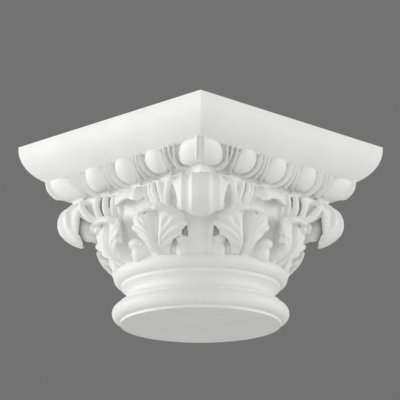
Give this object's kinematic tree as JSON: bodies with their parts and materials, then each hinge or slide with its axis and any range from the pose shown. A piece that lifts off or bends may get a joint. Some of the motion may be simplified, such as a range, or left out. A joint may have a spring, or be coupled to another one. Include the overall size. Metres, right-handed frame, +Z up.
{
  "type": "column capital",
  "caption": "Square-topped column capital with acanthus leaves, an egg and dart course and a round moulded neck, cast in white polyurethane.",
  "frame": {"origin": "middle of the round underside, where the capital stands on the column shaft", "axes": "+Z up along the column, X and Y parallel to the sides of the square top"},
  "size_m": [0.327, 0.327, 0.2314],
  "materials": {
    "polyurethane": "satin"
  },
  "bodies": {
    "root": {"capital": "polyurethane"}
  },
  "joints": []
}
